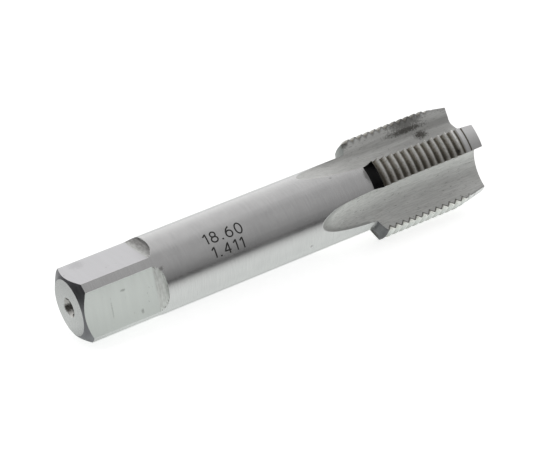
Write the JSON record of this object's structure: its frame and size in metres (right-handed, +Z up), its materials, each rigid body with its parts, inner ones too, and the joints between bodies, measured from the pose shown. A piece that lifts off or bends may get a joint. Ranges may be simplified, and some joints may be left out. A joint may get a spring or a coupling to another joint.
{
  "type": "thread tap",
  "caption": "Straight-flute thread tap with a round shank, a driving square, and four threaded lands with a tapered lead; it cuts an internal right-hand thread.",
  "frame": {"origin": "centre of the shank end face, on the tap's axis", "axes": "+X along the axis towards the cutting end, +Z up as the tap lies on two of its lands, +Y to the back"},
  "size_m": [0.08, 0.0164, 0.0164],
  "materials": {
    "tool_steel": "ground and bright"
  },
  "bodies": {
    "root": {"tap": "tool_steel"}
  },
  "joints": []
}
